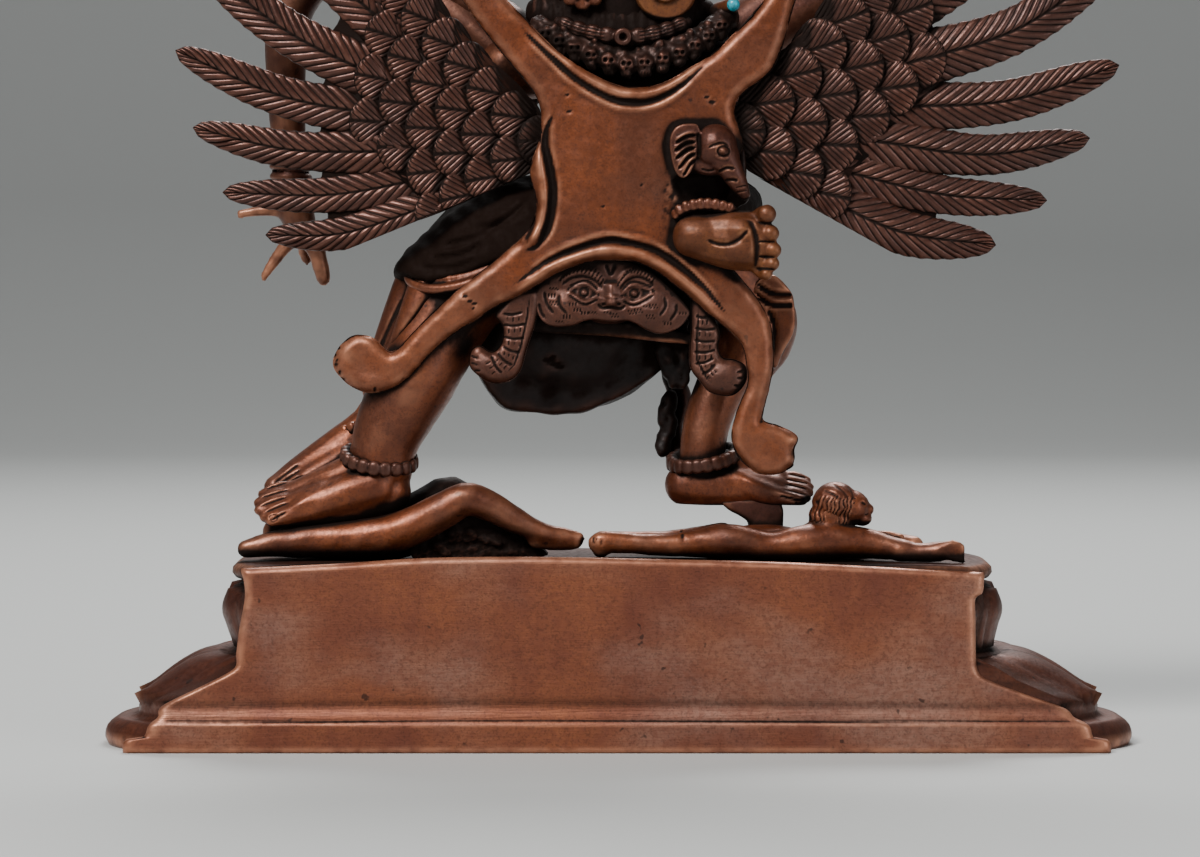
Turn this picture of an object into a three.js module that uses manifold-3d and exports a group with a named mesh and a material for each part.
// A cast copper-alloy vajrakilaya group on its long lotus plinth, in millimetres.
// +Z is up, +X and -X are the wing tips, -Y is the flat back of the plinth and +Y its petalled front.
// The winged figure stands with its back to -Y. The origin is the middle of the plinth's underside.
import * as THREE from "three";
import { mergeVertices } from "three/addons/utils/BufferGeometryUtils.js";
import Module from "manifold-3d";

const wasm = await Module();
wasm.setup();

// Driving dimensions of the plinth
const FOOT_HALF_WIDTH = 104.5;
const FOOT_HALF_DEPTH = 61.4;
const TOP_HALF_WIDTH = 77.1;
const BACK_PLANE = -41.7;
const OVAL_CENTRE_Y = -19.7;
const PLINTH_HEIGHT = 37;
const FOOT_SQUARENESS = 2.1;
const TOP_SQUARENESS = 4;
const PETALS_ROUND = 24;
const STEPS_PER_PETAL = 3;
const WALL_RECESS = 1.4;
const FOOT_BAND_HEIGHT = 6.2;
const COVE_TOP = 8.6;

// Driving dimensions of the figure
const HIDE_Y = -30.5;
const HIDE_THICKNESS = 3.4;
const HIDE_WRAP = 0.0012;
const WING_Y = -26.5;
const WING_THICKNESS = 2.6;
const FEATHER_LAP = 0.5;
const CLEARANCE = 0.45;

// Triangle budget of the round forms
const LIMB_SIDES = 7;
const ARM_SIDES = 6;
const FINE_SIDES = 5;
const BALL_SIDES = 10;
const BALL_ROWS = 6;
const FIGURE_TOLERANCE = 0.8;
const NEIGHBOUR_TOLERANCE = 0.3;
const SEAT_TOLERANCE = 0.3;

const COPPER = { color: 0x7a3d29, roughness: 0.42, metalness: 0.85 };
const TURQUOISE = { color: 0x1aa6c4, roughness: 0.25, metalness: 0 };

const vec = (x, y, z) => new THREE.Vector3(x, y, z);

// Manifold solid of a closed three.js geometry.
function solid(geometry) {
  const bare = geometry.clone();
  bare.deleteAttribute("normal");
  bare.deleteAttribute("uv");
  const merged = mergeVertices(bare, 1e-4);
  return new wasm.Manifold(
    new wasm.Mesh({
      numProp: 3,
      vertProperties: new Float32Array(merged.attributes.position.array),
      triVerts: new Uint32Array(merged.index.array),
    }),
  );
}

const joined = (solids) => solids.reduce((a, b) => a.add(b));

// Named mesh of a manifold solid.
function meshOf(name, made, look) {
  const { vertProperties, triVerts } = made.getMesh();
  const geometry = new THREE.BufferGeometry()
    .setAttribute("position", new THREE.BufferAttribute(vertProperties, 3))
    .setIndex(new THREE.BufferAttribute(triVerts, 1));
  geometry.computeVertexNormals();
  const mesh = new THREE.Mesh(geometry, new THREE.MeshStandardMaterial(look));
  mesh.name = name;
  return mesh;
}

// Moves each vertex of a geometry by a function.
function reshape(geometry, place) {
  const at = geometry.attributes.position;
  for (let i = 0; i < at.count; i++) {
    const p = place(at.getX(i), at.getY(i), at.getZ(i));
    at.setXYZ(i, p.x, p.y, p.z);
  }
  return geometry;
}

// A limb: a capsule bent along a curve through stations [x, y, z, radius].
// flat is the share of the radius that the limb keeps along the direction thin.
function limb(stations, { sides = LIMB_SIDES, steps = 0, flat = 1, thin = [0, 1, 0] } = {}) {
  const path = new THREE.CatmullRomCurve3(stations.map((s) => vec(s[0], s[1], s[2])));
  const girth = new THREE.CatmullRomCurve3(stations.map((s) => vec(s[3], 0, 0)));
  const rows = steps || stations.length - 1;
  const across = vec(...thin);
  const capsule = new THREE.CapsuleGeometry(1, 1, 2, sides, rows);
  return solid(
    reshape(capsule, (x, y, z) => {
      const t = THREE.MathUtils.clamp(y + 0.5, 0, 1);
      const cap = y > 0.5 ? y - 0.5 : Math.min(y + 0.5, 0);
      const along = path.getTangent(t);
      const wide = vec().crossVectors(along, across).normalize();
      const deep = vec().crossVectors(wide, along);
      const r = girth.getPoint(t).x;
      return path
        .getPoint(t)
        .addScaledVector(along, cap * r * (flat + 1) * 0.5)
        .addScaledVector(wide, x * r)
        .addScaledVector(deep, z * r * flat);
    }),
  );
}

// An ellipsoid at [x, y, z] with radii [x, y, z], turned by a tilt in degrees about Y.
function ball(centre, radii, tilt = 0, sides = BALL_SIDES, rows = BALL_ROWS) {
  const sphere = new THREE.SphereGeometry(1, sides, rows);
  sphere.scale(...radii);
  sphere.rotateY(THREE.MathUtils.degToRad(tilt));
  sphere.translate(...centre);
  return solid(sphere);
}

// A flat plate cut to a smooth outline of [x, z] points, thick along Y, its outer face at y.
function plate(outline, y, thickness, steps) {
  const edge = new THREE.SplineCurve([...outline, outline[0]].map((p) => new THREE.Vector2(...p)));
  const shape = new THREE.Shape(edge.getPoints(steps).slice(0, -1));
  const sheet = new THREE.ExtrudeGeometry(shape, {
    depth: thickness,
    bevelEnabled: false,
    steps: 1,
  });
  sheet.rotateX(Math.PI / 2);
  sheet.translate(0, y + thickness, 0);
  return sheet;
}

// Mirrors stations or centres in the plane x = at.
const mirrored = (stations, at = 0) => stations.map(([x, ...rest]) => [2 * at - x, ...rest]);

// Plinth: rings of an oval that grows squarer towards the top, with two rows of petals pressed into it.
function plinth() {
  // [inset from the foot's edge, height, swell of a petal's middle]
  const profile = [
    [60, 0, 0],
    [1.4, 0, 0],
    [0, 2.6, 0],
    [1.6, 5.2, 0],
    [7.2, 6.4, 0.6],
    [8.6, 9.4, 2.6],
    [15, 15.2, 3.2],
    [24.4, 18.4, 1.2],
    [28.2, 20.4, 0],
    [26.6, 25, 2.6],
    [29.2, 32.2, 0.8],
    [27.4, 34.6, 0],
    [28.4, PLINTH_HEIGHT, 0],
    [60, PLINTH_HEIGHT, 0],
  ];
  const rings = profile.map(([inset, height]) => new THREE.Vector2(FOOT_HALF_WIDTH - inset, height));
  rings[0].x = 0;
  rings[rings.length - 1].x = 0;
  const swells = new Map(profile.map(([, height, swell]) => [height.toFixed(2), swell]));
  const lathe = new THREE.LatheGeometry(rings, PETALS_ROUND * STEPS_PER_PETAL);
  const flare = FOOT_HALF_WIDTH - TOP_HALF_WIDTH;
  reshape(lathe, (x, y, z) => {
    const height = y;
    const reach = Math.hypot(x, z);
    if (reach < 1e-6) return vec(0, OVAL_CENTRE_Y, height);
    const turn = Math.atan2(z, x);
    const middle = Math.abs(Math.cos((turn * PETALS_ROUND) / 2));
    const swell = (swells.get(height.toFixed(2)) ?? 0) * (middle - 0.35);
    const inset = FOOT_HALF_WIDTH - reach - swell;
    const rise = THREE.MathUtils.clamp(inset / flare, 0, 1);
    const power = 2 / THREE.MathUtils.lerp(FOOT_SQUARENESS, TOP_SQUARENESS, rise);
    const bow = (value) => Math.sign(value) * Math.abs(value) ** power;
    return vec(
      (FOOT_HALF_WIDTH - inset) * bow(Math.cos(turn)),
      OVAL_CENTRE_Y - (FOOT_HALF_DEPTH - inset) * bow(Math.sin(turn)),
      height,
    );
  });
  const behind = new THREE.BoxGeometry(300, 100, 100);
  behind.translate(0, BACK_PLANE - 50, 30);
  const recess = new THREE.Shape([
    new THREE.Vector2(BACK_PLANE - 5, FOOT_BAND_HEIGHT),
    new THREE.Vector2(BACK_PLANE, FOOT_BAND_HEIGHT),
    new THREE.Vector2(BACK_PLANE + WALL_RECESS, COVE_TOP),
    new THREE.Vector2(BACK_PLANE + WALL_RECESS, 60),
    new THREE.Vector2(BACK_PLANE - 5, 60),
  ]);
  const groove = new THREE.ExtrudeGeometry(recess, { depth: 300, bevelEnabled: false });
  groove.applyMatrix4(
    new THREE.Matrix4().makeBasis(vec(0, 1, 0), vec(0, 0, 1), vec(1, 0, 0)).setPosition(-150, 0, 0),
  );
  return solid(lathe).subtract(solid(behind)).subtract(solid(groove));
}

// A feather blade: a pointed leaf along a bent quill, given by its root, middle and tip as [x, z].
function feather([root, middle, tip], width, y) {
  const quill = new THREE.QuadraticBezierCurve(
    new THREE.Vector2(...root),
    new THREE.Vector2(2 * middle[0] - (root[0] + tip[0]) / 2, 2 * middle[1] - (root[1] + tip[1]) / 2),
    new THREE.Vector2(...tip),
  );
  const shares = [0, 0.35, 0.7, 0.86, 0.96];
  const side = (sign) =>
    shares.map((t) => {
      const along = quill.getTangent(t);
      const half = (width / 2) * Math.min(1, 1.9 * (1 - t) ** 0.5) * sign;
      return quill.getPoint(t).add(new THREE.Vector2(-along.y, along.x).multiplyScalar(half));
    });
  const shape = new THREE.Shape([...side(1), quill.getPoint(1), ...side(-1).reverse()]);
  const blade = new THREE.ExtrudeGeometry(shape, { depth: WING_THICKNESS, bevelEnabled: false });
  blade.rotateX(Math.PI / 2);
  blade.translate(0, y + WING_THICKNESS, 0);
  return solid(blade);
}

// A wing: a plate of coverts with a fan of primaries laid alternately over it.
function wing(coverts, primaries) {
  const cover = solid(plate(coverts, WING_Y - FEATHER_LAP * 2, WING_THICKNESS, 32));
  const blades = primaries.map(([line, width], i) => feather(line, width, WING_Y + (i % 2) * FEATHER_LAP));
  return joined([cover, ...blades]);
}

const LEFT_COVERTS = [
  [-15.6, 125], [-18.3, 131], [-27.3, 139.2], [-36, 147.4], [-43.4, 150.6], [-48, 145],
  [-50.2, 134], [-50, 120.6], [-44, 113.4], [-36, 106.2], [-30, 109.6], [-22.6, 114], [-17, 119.2],
];
const LEFT_PRIMARIES = [
  [[[-37, 108.4], [-54.7, 102.6], [-70.4, 102.2]], 6],
  [[[-40, 113.2], [-57.7, 110.2], [-79, 110.7]], 6.2],
  [[[-46, 118.8], [-65.7, 119.2], [-84.8, 123.6]], 6.6],
  [[[-47, 126], [-67.3, 129.9], [-88.2, 138.9]], 7],
  [[[-48, 133.6], [-66.7, 143.1], [-85.6, 158.1]], 7.6],
  [[[-46, 143.6], [-60, 156.1], [-77.2, 171]], 7.6],
  [[[-43.5, 147.6], [-53.6, 164], [-65.6, 182]], 7.2],
];
const RIGHT_COVERTS = [
  [23.6, 124], [31, 137.6], [40, 145.6], [49, 151], [58, 153.6], [61, 146], [62, 134],
  [58.2, 127.4], [52.6, 120.2], [47.2, 115], [40.2, 107.8], [29.4, 112.8], [24, 118],
];
const RIGHT_PRIMARIES = [
  [[[37.4, 110], [56, 101.6], [75.2, 100.2]], 7],
  [[[46, 114.6], [65, 110.2], [85.4, 109.1]], 6.8],
  [[[53, 120.6], [73, 118.2], [93.8, 121.5]], 7.2],
  [[[57, 127.8], [78, 129], [99.6, 136]], 7.4],
  [[[59.6, 137], [80, 143.5], [101, 158.1]], 8],
  [[[57, 147], [74, 158], [92, 174]], 8],
  [[[52, 149.4], [63, 165], [78, 183]], 7.4],
];

// Flayed hide over the back, its arms carried up to the raised hands and its legs hanging over the shins.
const HIDE_OUTLINE = [
  [-40.6, 160.2], [-31.3, 149], [-22.2, 137], [-15.6, 126], [-17.3, 115.4], [-16.4, 108],
  [-24.7, 97.1], [-38.6, 85.3], [-44.6, 79], [-49.1, 81.9], [-55.5, 80.3], [-57.1, 76.4],
  [-53.1, 71.8], [-45.6, 71.4], [-35.6, 80.3], [-26.3, 86.8], [-10.2, 95.6], [0.4, 97.2],
  [11.1, 92.4], [21.7, 83.3], [25.2, 76], [22.6, 63], [28, 54.9], [35.6, 58.6],
  [29, 65], [31.2, 77.6], [27.6, 89.6], [21, 97.6], [20.6, 112], [22.7, 127], [31.6, 137],
  [36.4, 149.6], [43.4, 160.6], [37.4, 163], [29, 149], [18.2, 137.8], [3.4, 131.4], [-8.2, 136.4],
  [-22.5, 149], [-34.4, 162.6],
];

function hide() {
  const sheet = plate(HIDE_OUTLINE, HIDE_Y, HIDE_THICKNESS, 60);
  return solid(reshape(sheet, (x, y, z) => vec(x, y + HIDE_WRAP * (x - 2) ** 2, z)));
}

// The feet that stand on the trampled men, and the block under the right sole. A growth above zero gives
// the space that they need.
function feet(growth = 0) {
  const foot = (stations) => limb(stations.map(([x, y, z, r]) => [x, y, z, r + growth]));
  return [
    foot([[-44.8, -20, 51.9, 5.4], [-54, -21, 50.2, 5.2], [-64, -21.4, 47.6, 4], [-70.4, -22, 46.4, 2.9]]),
    foot([[-47.7, -20, 60, 6], [-46.8, -20, 52.4, 5.8]]),
    foot([[12.6, -16, 52.9, 5.3], [21, -16.4, 53, 5.4], [30, -17, 51.4, 4.4], [37, -17.6, 50, 2.9]]),
    foot([[18, -16, 61, 5.2], [16.6, -16, 53, 5]]),
    foot([[27.4, -17, 49, 5.6], [27.4, -17, 43.6, 5.6]]),
    foot([[-55, -7, 60.6, 4.4], [-59.6, -7.4, 54, 4.4], [-66, -8, 51.2, 3.6], [-73, -9, 48.6, 2.4]]),
  ];
}

// Standing winged figure, without its hides: legs, trunk, heads and six arms.
function standingFigure() {
  const farArm = [[-20, -13, 136, 6], [-36.6, -9, 149, 4.8], [-59.5, -5, 156.4, 4.6], [-67.6, -5, 141, 4.4],
    [-67, -4.6, 114, 3.2], [-65, -4.4, 102.6, 3.6]];
  const raisedArm = [[-17, -12, 139, 6], [-41, -8, 158, 5], [-48, -7, 167, 4.2], [-53, -6, 181, 3], [-53.4, -6, 186, 4]];
  const outerArm = [[21, -13, 136, 6], [39.9, -10, 148.6, 4.8], [60, -6, 155, 4.6], [71, -4, 164, 3.8],
    [77, -3.4, 173.6, 3], [78, -3.4, 178, 4]];
  const claspingArm = [[-19, -10, 134, 5.4], [-27.4, 3, 121, 4.6], [-15, 18, 121, 3.8], [-2.4, 25.6, 123, 3.2]];
  return [
    // left leg, from the hip to the ankle, then the skirt over its thigh
    limb([[-12, -17, 100, 11], [-33, -17, 92, 9], [-36.9, -19, 81, 8.4], [-42.9, -20, 69, 7.3], [-47.7, -20, 58.9, 6]]),
    limb([[-8, -17, 102, 14], [-24, -17, 99.4, 12.6], [-35, -17, 95.4, 10]]),
    // right leg, bent at the knee
    limb([[10, -16, 100, 12], [22, -13, 94, 10.6], [30.4, -11, 87, 8.2], [26, -14, 76, 7.2], [18.4, -16, 62, 5.4]]),
    // trunk, neck, three heads under one topknot
    limb([[0, -15, 99, 13], [1, -15, 111, 12], [1, -15, 124, 16], [1, -15, 135, 12]], { flat: 0.72 }),
    limb([[-22, -14.5, 136, 6.8], [1, -14.5, 138, 7.6], [24, -14.5, 136, 6.8]], { steps: 4 }),
    limb([[0.8, -13, 138, 7.6], [0.8, -12, 150, 7]], { steps: 1 }),
    ball([0.8, -8.6, 158], [10.4, 10, 12.6]),
    ball([-6.6, -14, 157.4], [9.4, 9, 11.6]),
    ball([8.2, -14, 157.4], [9.4, 9, 11.6]),
    limb([[0.8, -12, 165, 11.4], [0.8, -12, 175, 9], [0.8, -12, 186, 5.4], [0.8, -12, 196, 1.8]]),
    // arms: one held down with spread fingers, two raised, one held out, two round the consort
    limb(farArm, { sides: ARM_SIDES }),
    limb([[-66, -4.6, 106, 1.7], [-72, -4.8, 107, 1.3], [-77.4, -5, 106.6, 1.1]], { sides: FINE_SIDES, steps: 2 }),
    limb([[-66.4, -4.4, 100, 1.9], [-69, -4.4, 96.4, 1.5], [-72.6, -4.4, 93.4, 1.2]], { sides: FINE_SIDES, steps: 2 }),
    limb([[-62.4, -4.4, 101, 2.6], [-61.2, -4.4, 97, 2.2], [-60.4, -4.4, 93.4, 1.9]], { sides: FINE_SIDES, steps: 2 }),
    limb(raisedArm, { sides: ARM_SIDES }),
    limb(mirrored(raisedArm, 0.8), { sides: ARM_SIDES }),
    limb(outerArm, { sides: ARM_SIDES }),
    limb(claspingArm, { sides: ARM_SIDES }),
    limb(mirrored(claspingArm, 0.8), { sides: ARM_SIDES }),
  ];
}

// Consort on the side of the petals, with her arms round the figure's neck and her left leg round its waist.
function consort() {
  const arm = [[-8.6, 6, 128, 3.8], [-15.6, -1, 134, 3.3], [-11, -9, 142, 2.8]];
  return [
    ball([-10, -4, 86], [24, 12.4, 20]),
    limb([[-9, 3, 92, 9.4], [-6, 5, 106, 7], [-2.6, 6, 118, 8.6], [-0.6, 6, 128, 6.4], [0, 7, 136, 3.6]]),
    limb([[-9, 6, 128, 4], [9, 6, 128, 4]], { steps: 2 }),
    ball([0.4, 8.4, 142], [7.2, 7.6, 8.8]),
    limb(arm, { sides: ARM_SIDES }),
    limb(mirrored(arm), { sides: ARM_SIDES }),
    // right leg beside the standing figure's left leg
    limb([[-14, 1, 89, 8], [-33, -3, 88, 7], [-43, -5, 77, 5.8], [-54, -7, 62.4, 4.2]], { sides: ARM_SIDES }),
    // left leg round the waist, its foot lying sole outwards on the hide
    limb([[5, 2, 95, 8.4], [24, 1, 105, 7.6], [31, -7, 110.6, 6], [27, -19, 109, 5], [19.6, -30, 105.8, 4.4]],
      { sides: ARM_SIDES }),
    limb([[14.6, -35.2, 101, 5], [20, -35.6, 100.6, 4.8], [26.6, -35.8, 99.8, 5.4]], { flat: 0.7 }),
    limb([[26.4, -36, 105, 1.8], [31, -36, 106, 1.5]], { sides: FINE_SIDES, steps: 1 }),
    limb([[28, -36, 98.4, 3.6], [31.2, -36, 99.6, 2.2]], { sides: FINE_SIDES, steps: 1 }),
  ];
}

// What is worn and held: hides, anklets, earrings, crown, garland, dagger and sceptres.
function regalia() {
  const anklet = (x, y, z, r, tilt) => {
    const ring = new THREE.TorusGeometry(r, 1.5, 4, 10);
    ring.rotateY(THREE.MathUtils.degToRad(tilt));
    ring.translate(x, y, z);
    return solid(ring);
  };
  const earring = (x, z, r) => {
    const disc = new THREE.CylinderGeometry(r, r, 2.6, 12);
    disc.translate(x, -23.4, z);
    return solid(disc);
  };
  const crownLeaf = (turn) => {
    const x = 0.8 + 11.6 * Math.sin(turn);
    const y = -12 + 11.6 * Math.cos(turn);
    return limb([[x, y, 167, 3.4], [x, y, 175.6, 1.2]], { sides: 4, steps: 1, flat: 0.6 });
  };
  return [
    hide(),
    ball([-1.4, -25, 88.6], [15.8, 6, 6.8]),
    limb([[-17, -27, 92, 3], [-20.6, -28, 80.6, 3], [-26, -28, 76.6, 3.2]], { steps: 4 }),
    limb([[15, -25, 90, 3], [17.4, -26, 79.6, 2.9], [21.4, -26, 74, 3.4]], { steps: 4 }),
    ball([18.6, -32.4, 118.6], [5.8, 5, 5.4]),
    ball([12.4, -32, 118.2], [2.8, 2.4, 6.4]),
    limb([[20.6, -34, 115, 3.2], [24.4, -34.6, 110.8, 1.6]], { sides: FINE_SIDES, steps: 1 }),
    limb([[9.4, -3, 80, 2.4], [12.6, -3, 68, 2.4], [11, -5, 62, 2], [12, -7, 56, 2.2]], { sides: FINE_SIDES, steps: 3 }),
    anklet(-48, -20, 56.8, 6.4, 0),
    anklet(17.4, -16, 57.6, 6, 0),
    earring(-7.3, 152.4, 5),
    earring(9.3, 151.4, 5.8),
    ...[-1.3, -0.65, 0, 0.65, 1.3].map(crownLeaf),
    // garland across the nape
    limb([[-16.6, -20, 144, 4], [-8, -25, 139, 4], [3.4, -26.4, 136.6, 4.2], [14, -25, 139, 4], [21.6, -20, 145.6, 4]]),
    // dagger between the front hands: knob, grip and three-sided blade
    limb([[0.8, 27, 134, 2.6], [0.8, 27, 127, 2], [0.8, 27, 120, 2.6]], { sides: FINE_SIDES }),
    limb([[0.8, 27, 119, 3], [0.8, 26.4, 110, 2.4], [0.8, 25.6, 101, 0.5]], { sides: 3 }),
    // sceptres in the three raised fists
    ...[[-53.4, 186], [55, 186], [78, 178]].map(([x, z]) =>
      limb([[x, -4.6, z - 9, 1.4], [x, -4.6, z - 5, 2.6], [x, -4.6, z, 1.2], [x, -4.6, z + 5, 2.6], [x, -4.6, z + 9, 1.4]],
        { sides: FINE_SIDES, steps: 4 })),
  ];
}

// Inlaid cabochons: name, centre and radius. Each sits in a pocket of the casting.
const STONES = [
  ["earring_stone_left", [-7.3, -24.9, 152.4], 1.5],
  ["earring_stone_right", [9.3, -24.9, 151.4], 1.9],
  ["shoulder_stone", [22.6, -23.9, 148], 1.4],
  ["crown_stone", [0.8, 1, 170], 1.6],
];

// Two trampled men, one supine with drawn-up knees, one prone with a raised head.
function supineMan() {
  return joined([
    ball([-70, -19, 42.6], [5.4, 5, 4.8]),
    limb([[-64, -20, 41.4, 4], [-54, -21, 40.4, 4.4], [-43.6, -21.4, 42.4, 5.4]]),
    limb([[-43, -25, 42.6, 4.6], [-35.6, -27, 47.6, 3.6], [-29.4, -27, 49.4, 3.3], [-23, -27, 46.4, 2.6],
      [-14, -27, 42.2, 2.2], [-8.6, -27, 40.6, 1.9]], { sides: 6 }),
    limb([[-43, -16, 42.6, 4.6], [-35, -14, 50, 3.2], [-27, -13, 45, 2.6], [-17, -12, 40, 2]], { sides: 6 }),
    limb([[-62, -13, 41, 3], [-58, -5, 40, 2.4], [-66, 1, 39.6, 2]], { sides: FINE_SIDES }),
    limb([[-40, -25, 39.6, 2], [-28, -25, 39.8, 2.4], [-14, -26, 39.4, 1.8]], { sides: FINE_SIDES }),
  ]);
}

function proneMan() {
  return joined([
    limb([[-3.8, -29, 41, 2.4], [5, -29, 40.6, 2.5], [12, -29, 40.4, 2.8], [21, -28, 41, 4.2], [30, -28, 40.4, 3.8],
      [41, -27, 40.8, 4.6], [48, -26, 40.4, 3.6]], { sides: 6 }),
    limb([[21, -20, 40.6, 3.8], [10, -17, 40, 2.6], [-3, -14, 40, 2.2]], { sides: 6 }),
    ball([29, -23, 40.6], [10, 6, 3.6]),
    ball([42, -23, 41], [7.4, 7, 4.4]),
    ball([44, -25, 48.4], [5.2, 4.4, 5]),
    limb([[48, -29, 40, 3], [56, -31, 39.6, 2.4], [67, -30, 39.4, 1.9]], { sides: FINE_SIDES }),
    limb([[46, -18, 40, 3], [54, -10, 39.6, 2.4], [60, -15, 39.4, 1.9]], { sides: FINE_SIDES }),
  ]);
}

// Assembly. Each later piece is cut clear of the ones before it, so that faces meet with a small gap.
const group = new THREE.Group();

const plinthSolid = plinth();
const standClear = new THREE.BoxGeometry(400, 200, PLINTH_HEIGHT + CLEARANCE);
standClear.translate(0, 0, (PLINTH_HEIGHT + CLEARANCE) / 2);
const aboveStand = (made) => made.subtract(solid(standClear));

const pocket = ([, centre, radius]) => ball(centre, Array(3).fill(radius + CLEARANCE), 0, 8, 5);
const seat = ([, [x, y, z], radius]) => {
  const inward = y > 0 ? -1.6 : 1.6;
  return ball([x, y + inward, z], Array(3).fill(radius + 1.2), 0, 8, 5);
};

// The outer skin of the largest body of a solid, without the slivers and pores that cuts and joins leave.
function largest(made, tolerance) {
  const body = made.decompose().sort((a, b) => b.volume() - a.volume())[0].simplify(tolerance);
  const { vertProperties, triVerts, numVert } = body.getMesh();
  const skin = Array.from({ length: numVert }, (_, i) => i);
  const root = (i) => {
    while (skin[i] !== i) i = skin[i] = skin[skin[i]];
    return i;
  };
  for (let i = 0; i < triVerts.length; i++) skin[root(triVerts[i])] = root(triVerts[i - (i % 3)]);
  const sizes = new Map();
  for (const corner of triVerts) sizes.set(root(corner), (sizes.get(root(corner)) ?? 0) + 1);
  const outer = [...sizes.keys()].reduce((a, b) => (sizes.get(a) > sizes.get(b) ? a : b));
  const kept = triVerts.filter((_, i) => root(triVerts[i - (i % 3)]) === outer);
  return new wasm.Manifold(new wasm.Mesh({ numProp: 3, vertProperties, triVerts: kept }));
}

const cast = aboveStand(joined([...standingFigure(), ...feet(), ...consort(), ...regalia()]));
const figureBody = largest(
  STONES.reduce((made, stone) => made.add(seat(stone)).subtract(pocket(stone)), largest(cast, FIGURE_TOLERANCE)),
  SEAT_TOLERANCE,
);

// A shell round the figure: the figure itself, shifted a little each way, for cutting its neighbours.
const shifts = [[1, 0, 0], [-1, 0, 0], [0, 1, 0], [0, -1, 0], [0, 0, 1], [0, 0, -1]];
const shell = joined(shifts.map((way) => figureBody.translate(way.map((w) => w * CLEARANCE))));
const offFigure = (made) => largest(made.subtract(shell), NEIGHBOUR_TOLERANCE);
const underFeet = (made) => largest(aboveStand(made).subtract(joined(feet(CLEARANCE))), NEIGHBOUR_TOLERANCE);

group.add(
  meshOf("plinth", plinthSolid, COPPER),
  meshOf("vajrakilaya_figure", figureBody, COPPER),
  meshOf("trampled_man_left", underFeet(supineMan()), COPPER),
  meshOf("trampled_man_right", underFeet(proneMan()), COPPER),
  meshOf("wing_left", offFigure(wing(LEFT_COVERTS, LEFT_PRIMARIES)), COPPER),
  meshOf("wing_right", offFigure(wing(RIGHT_COVERTS, RIGHT_PRIMARIES)), COPPER),
  ...STONES.map(([name, centre, radius]) => meshOf(name, ball(centre, Array(3).fill(radius), 0, 8, 5), TURQUOISE)),
);

export default group;
